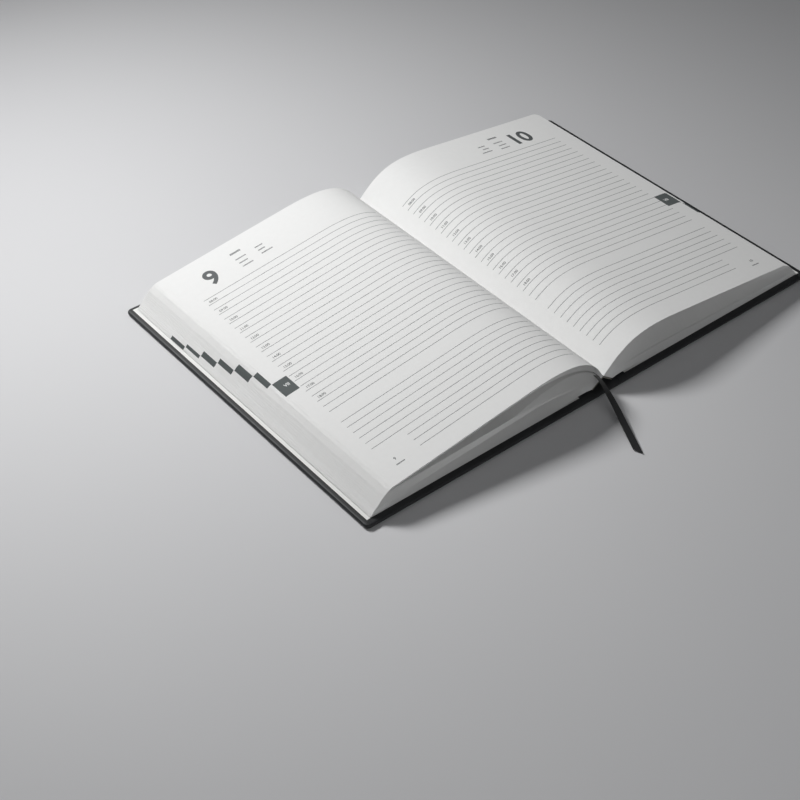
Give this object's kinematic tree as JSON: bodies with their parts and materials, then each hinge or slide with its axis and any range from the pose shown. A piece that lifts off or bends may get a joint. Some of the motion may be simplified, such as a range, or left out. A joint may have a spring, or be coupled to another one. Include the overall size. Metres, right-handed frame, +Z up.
{
  "type": "page-a-day planner",
  "caption": "Hard-cover desk planner lying open, with sewn sections, a turning leaf, printed month tabs and a ribbon marker; both covers and the block close.",
  "frame": {"origin": "middle of the spine's underside, on the table", "axes": "+X across the spread towards the right-hand page's fore-edge, +Y along the spine towards the head, +Z up from the table"},
  "size_m": [0.327, 0.2638, 0.0272],
  "materials": {
    "cover_cloth": "smooth black cover cloth, satin",
    "grey_board": "pressed grey board",
    "page_paper": "uncoated white writing paper",
    "endpaper": "uncoated heavy paper",
    "lining": "mull and paper spine lining",
    "thread": "sewing thread",
    "ribbon": "woven satin ribbon"
  },
  "bodies": {
    "spine": {"spine_wrap": "cover_cloth", "spine_board": "grey_board"},
    "front_cover": {"front_board": "grey_board", "front_wrap": "cover_cloth", "front_joint_cloth": "cover_cloth", "front_pastedown": "endpaper", "front_flyleaf": "endpaper"},
    "back_cover": {"back_board": "grey_board", "back_wrap": "cover_cloth", "back_joint_cloth": "cover_cloth", "back_pastedown": "endpaper", "back_flyleaf": "endpaper"},
    "spine_limb_left": {"spine_lining_left": "lining", "sewing_thread_left_1": "thread", "sewing_thread_left_2": "thread", "sewing_thread_left_3": "thread", "sewing_thread_left_4": "thread", "section_01_fold": "page_paper", "section_02_fold": "page_paper", "section_03_fold": "page_paper", "section_04_fold": "page_paper", "section_05_fold": "page_paper", "section_06_fold": "page_paper", "ribbon_inner": "ribbon"},
    "spine_limb_right": {"spine_lining_right": "lining", "sewing_thread_right_1": "thread", "sewing_thread_right_2": "thread", "sewing_thread_right_3": "thread", "sewing_thread_right_4": "thread", "section_07_fold": "page_paper", "section_08_fold": "page_paper", "section_09_fold": "page_paper", "section_10_fold": "page_paper", "section_11_fold": "page_paper", "section_12_fold": "page_paper"},
    "section_01": {"section_01": "page_paper"},
    "section_02": {"section_02": "page_paper"},
    "section_03": {"section_03": "page_paper"},
    "section_04": {"section_04": "page_paper"},
    "section_05": {"section_05": "page_paper"},
    "section_06": {"section_06": "page_paper"},
    "section_07": {"section_07": "page_paper"},
    "section_08": {"section_08": "page_paper"},
    "section_09": {"section_09": "page_paper"},
    "section_10": {"section_10": "page_paper"},
    "section_11": {"section_11": "page_paper"},
    "section_12": {"section_12": "page_paper"},
    "leaf_root": {"leaf_fold": "page_paper"},
    "leaf_inner": {"leaf_inner": "page_paper"},
    "leaf_outer": {"leaf_outer": "page_paper"},
    "ribbon_exit": {"ribbon_exit": "ribbon"},
    "ribbon_tail": {"ribbon_tail": "ribbon"}
  },
  "joints": [
    {"name": "front_cover_hinge", "type": "hinge", "parent": "spine", "child": "front_cover", "pos_m": [-0.0108, 0, 0.0013], "axis": [0, 1, 0], "range_deg": [0, 90]},
    {"name": "back_cover_hinge", "type": "hinge", "parent": "spine", "child": "back_cover", "pos_m": [0.0108, 0, 0.0013], "axis": [0, -1, 0], "range_deg": [0, 90]},
    {"name": "left_limb_hinge", "type": "hinge", "parent": "spine", "child": "spine_limb_left", "pos_m": [-0.00877, 0, 0.00575], "axis": [0, 1, 0], "range_deg": [0, 36.01]},
    {"name": "right_limb_hinge", "type": "hinge", "parent": "spine", "child": "spine_limb_right", "pos_m": [0.00877, 0, 0.00575], "axis": [0, -1, 0], "range_deg": [0, 36.01]},
    {"name": "section_01_fold_hinge", "type": "hinge", "parent": "spine_limb_left", "child": "section_01", "pos_m": [-0.00744, 0, 0.00446], "axis": [0, 1, 0], "range_deg": [0, 54.32], "deforming": ["section_01_fold"]},
    {"name": "section_02_fold_hinge", "type": "hinge", "parent": "spine_limb_left", "child": "section_02", "pos_m": [-0.00824, 0, 0.00672], "axis": [0, 1, 0], "range_deg": [0, 54.94], "deforming": ["section_02_fold"]},
    {"name": "section_03_fold_hinge", "type": "hinge", "parent": "spine_limb_left", "child": "section_03", "pos_m": [-0.00895, 0, 0.00918], "axis": [0, 1, 0], "range_deg": [0, 55.57], "deforming": ["section_03_fold"]},
    {"name": "section_04_fold_hinge", "type": "hinge", "parent": "spine_limb_left", "child": "section_04", "pos_m": [-0.00958, 0, 0.01184], "axis": [0, 1, 0], "range_deg": [0, 56.22], "deforming": ["section_04_fold"]},
    {"name": "section_05_fold_hinge", "type": "hinge", "parent": "spine_limb_left", "child": "section_05", "pos_m": [-0.01014, 0, 0.01468], "axis": [0, 1, 0], "range_deg": [0, 56.87], "deforming": ["section_05_fold"]},
    {"name": "section_06_fold_hinge", "type": "hinge", "parent": "spine_limb_left", "child": "section_06", "pos_m": [-0.01888, 0, 0.02534], "axis": [0, 1, 0], "range_deg": [0, 62.09], "deforming": ["section_06_fold"]},
    {"name": "section_07_fold_hinge", "type": "hinge", "parent": "spine_limb_right", "child": "section_07", "pos_m": [0.01888, 0, 0.02534], "axis": [0, -1, 0], "range_deg": [0, 62.09], "deforming": ["section_07_fold"]},
    {"name": "section_08_fold_hinge", "type": "hinge", "parent": "spine_limb_right", "child": "section_08", "pos_m": [0.01014, 0, 0.01468], "axis": [0, -1, 0], "range_deg": [0, 56.87], "deforming": ["section_08_fold"]},
    {"name": "section_09_fold_hinge", "type": "hinge", "parent": "spine_limb_right", "child": "section_09", "pos_m": [0.00958, 0, 0.01184], "axis": [0, -1, 0], "range_deg": [0, 56.22], "deforming": ["section_09_fold"]},
    {"name": "section_10_fold_hinge", "type": "hinge", "parent": "spine_limb_right", "child": "section_10", "pos_m": [0.00895, 0, 0.00918], "axis": [0, -1, 0], "range_deg": [0, 55.57], "deforming": ["section_10_fold"]},
    {"name": "section_11_fold_hinge", "type": "hinge", "parent": "spine_limb_right", "child": "section_11", "pos_m": [0.00824, 0, 0.00672], "axis": [0, -1, 0], "range_deg": [0, 54.94], "deforming": ["section_11_fold"]},
    {"name": "section_12_fold_hinge", "type": "hinge", "parent": "spine_limb_right", "child": "section_12", "pos_m": [0.00744, 0, 0.00446], "axis": [0, -1, 0], "range_deg": [0, 54.32], "deforming": ["section_12_fold"]},
    {"name": "leaf_turn", "type": "hinge", "parent": "spine_limb_right", "child": "leaf_root", "pos_m": [0.00035, 0, 0.00908], "axis": [0, 1, 0], "range_deg": [-60, 0]},
    {"name": "leaf_fold_hinge", "type": "hinge", "parent": "leaf_root", "child": "leaf_inner", "pos_m": [0.0188, 0, 0.02662], "axis": [0, -1, 0], "range_deg": [0, 62.26], "deforming": ["leaf_fold"]},
    {"name": "leaf_bend", "type": "hinge", "parent": "leaf_inner", "child": "leaf_outer", "pos_m": [0.08, 0, 0.02246], "axis": [0, 1, 0], "range_deg": [-99.01, 0]},
    {"name": "ribbon_swing", "type": "hinge", "parent": "spine_limb_left", "child": "ribbon_exit", "pos_m": [-0.00583, -0.10584, 0.01254], "axis": [0, 0, 1], "range_deg": [-25, 15]},
    {"name": "ribbon_lift", "type": "hinge", "parent": "ribbon_exit", "child": "ribbon_tail", "pos_m": [-0.00568, -0.10861, 0.01109], "axis": [-0.8757, -0.1672, 0.453], "range_deg": [0, 70]}
  ],
  "couplings": [
    {"joint": "left_limb_hinge", "follows": "front_cover_hinge", "ratio": 0.4},
    {"joint": "right_limb_hinge", "follows": "back_cover_hinge", "ratio": 0.4},
    {"joint": "section_01_fold_hinge", "follows": "front_cover_hinge", "ratio": 0.6034},
    {"joint": "section_02_fold_hinge", "follows": "front_cover_hinge", "ratio": 0.6103},
    {"joint": "section_03_fold_hinge", "follows": "front_cover_hinge", "ratio": 0.61734},
    {"joint": "section_04_fold_hinge", "follows": "front_cover_hinge", "ratio": 0.62451},
    {"joint": "section_05_fold_hinge", "follows": "front_cover_hinge", "ratio": 0.63182},
    {"joint": "section_06_fold_hinge", "follows": "front_cover_hinge", "ratio": 0.68975},
    {"joint": "section_07_fold_hinge", "follows": "back_cover_hinge", "ratio": 0.68975},
    {"joint": "section_08_fold_hinge", "follows": "back_cover_hinge", "ratio": 0.63182},
    {"joint": "section_09_fold_hinge", "follows": "back_cover_hinge", "ratio": 0.62451},
    {"joint": "section_10_fold_hinge", "follows": "back_cover_hinge", "ratio": 0.61734},
    {"joint": "section_11_fold_hinge", "follows": "back_cover_hinge", "ratio": 0.6103},
    {"joint": "section_12_fold_hinge", "follows": "back_cover_hinge", "ratio": 0.6034},
    {"joint": "leaf_fold_hinge", "follows": "back_cover_hinge", "ratio": 0.69171},
    {"joint": "leaf_bend", "follows": "leaf_turn", "ratio": 1.65}
  ]
}
